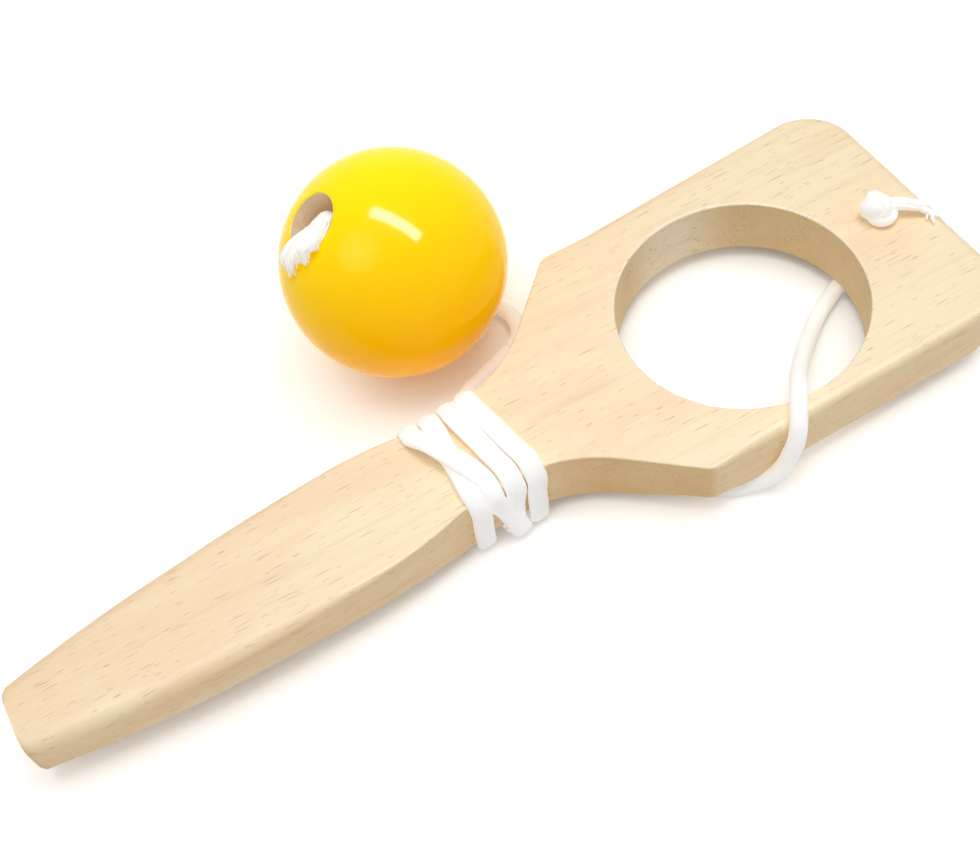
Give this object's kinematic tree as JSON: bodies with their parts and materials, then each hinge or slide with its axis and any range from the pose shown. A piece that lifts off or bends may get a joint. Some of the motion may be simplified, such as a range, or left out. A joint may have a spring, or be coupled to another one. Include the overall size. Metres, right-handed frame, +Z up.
{
  "type": "ring and ball catching toy",
  "caption": "Flat wooden paddle with a round catching hole and a tapered handle, its cord wound round the waist and ending in a lacquered wooden ball.",
  "frame": {"origin": "on the table, under the middle of the box round the paddle and the ball", "axes": "+X along the paddle from its butt to its tip, +Y across it towards the ball, +Z up"},
  "size_m": [0.204, 0.102, 0.047],
  "materials": {
    "beech": "bare sanded beech",
    "yellow_lacquer": "turned wood with a thick gloss yellow lacquer",
    "cotton": "soft off-white cotton cord"
  },
  "bodies": {
    "paddle": {"paddle": "beech", "tip_tail": "cotton", "tip_knot": "cotton", "tip_cord": "cotton", "neck_winding": "cotton"},
    "ball_lead": {"ball_cord": "cotton", "ball_knot": "cotton", "ball_tail": "cotton"},
    "ball": {"ball": "yellow_lacquer"}
  },
  "joints": [
    {"name": "ball_swing", "type": "hinge", "parent": "paddle", "child": "ball_lead", "pos_m": [0.0008, -0.00516, 0.01], "axis": [0, 0, 1], "range_deg": [-5, 35]},
    {"name": "ball_spin", "type": "hinge", "parent": "ball_lead", "child": "ball", "pos_m": [0.0036, 0.02585, 0.0235], "axis": [-0.554, 0.1485, 0.8192], "continuous": true}
  ]
}
